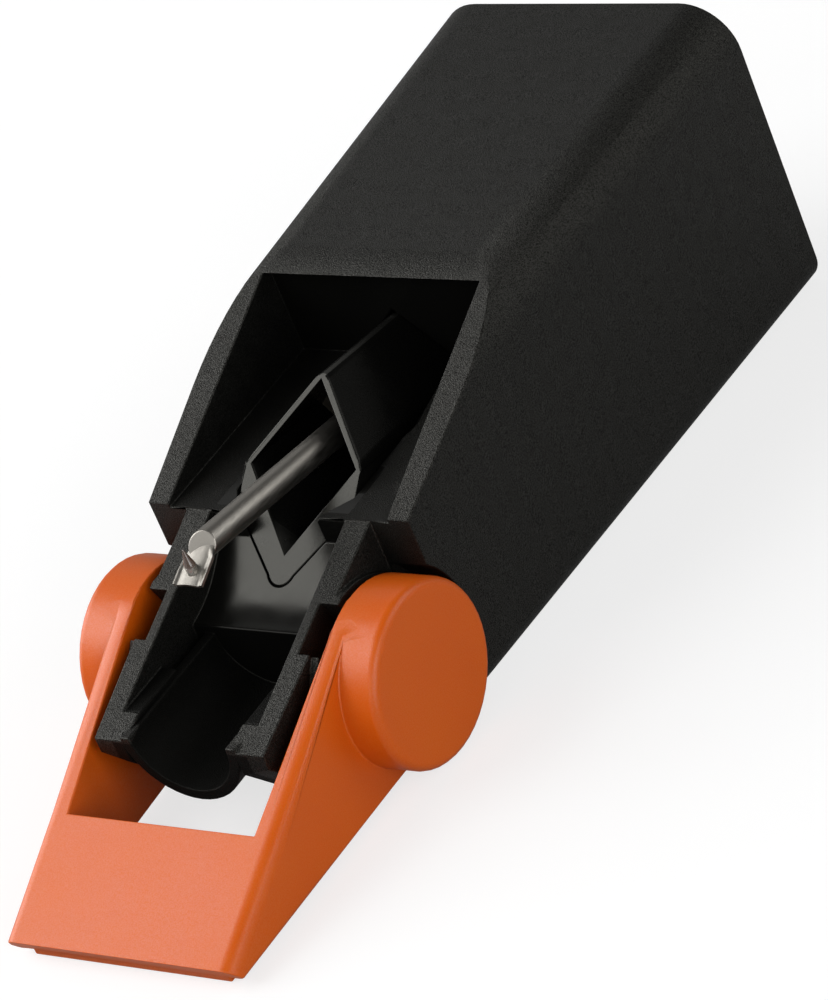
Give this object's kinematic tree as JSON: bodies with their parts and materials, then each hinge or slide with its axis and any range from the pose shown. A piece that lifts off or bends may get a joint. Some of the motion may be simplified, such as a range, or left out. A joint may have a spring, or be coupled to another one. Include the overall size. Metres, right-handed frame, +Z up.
{
  "type": "turntable stylus",
  "caption": "Replacement turntable stylus: black housing, square carrier tube with aluminium cantilever and diamond tip, and an orange flip guard.",
  "frame": {"origin": "middle of the housing's flat bottom face, on which the part stands with its record side up", "axes": "+X across the stylus, +Y from the guard's tip to the cartridge socket at the back, +Z up, towards the record side"},
  "size_m": [0.0078, 0.0239, 0.0074],
  "materials": {
    "black_housing": "fine spark-eroded texture, satin",
    "black_carrier": "smooth moulded",
    "orange_guard": "smooth moulded, slightly translucent",
    "aluminium_tube": "drawn, satin",
    "steel": "drawn",
    "magnet_nickel": "nickel plated",
    "diamond": "ground and polished",
    "damper_rubber": "moulded",
    "holder_plastic": "moulded",
    "plug_brass": "turned"
  },
  "bodies": {
    "shell": {"housing": "black_housing", "stylus_carrier": "black_carrier", "damper": "damper_rubber", "damper_holder": "holder_plastic", "tie_wire": "steel", "tie_wire_plug": "plug_brass"},
    "guard": {"finger_guard": "orange_guard"},
    "lever": {"cantilever": "aluminium_tube", "tip_shank": "steel", "diamond_tip": "diamond", "armature_collar": "aluminium_tube", "magnet": "magnet_nickel"}
  },
  "joints": [
    {"name": "guard_flip", "type": "hinge", "parent": "shell", "child": "guard", "pos_m": [0, -0.00892, 0.00204], "axis": [-1, 0, 0], "range_deg": [0, 92]},
    {"name": "stylus_flex", "type": "hinge", "parent": "shell", "child": "lever", "pos_m": [0, -0.00309, 0.00454], "axis": [1, 0, 0], "range_deg": [-1.5, 1.5], "stiffness_Nm_per_rad": 0.0026}
  ]
}
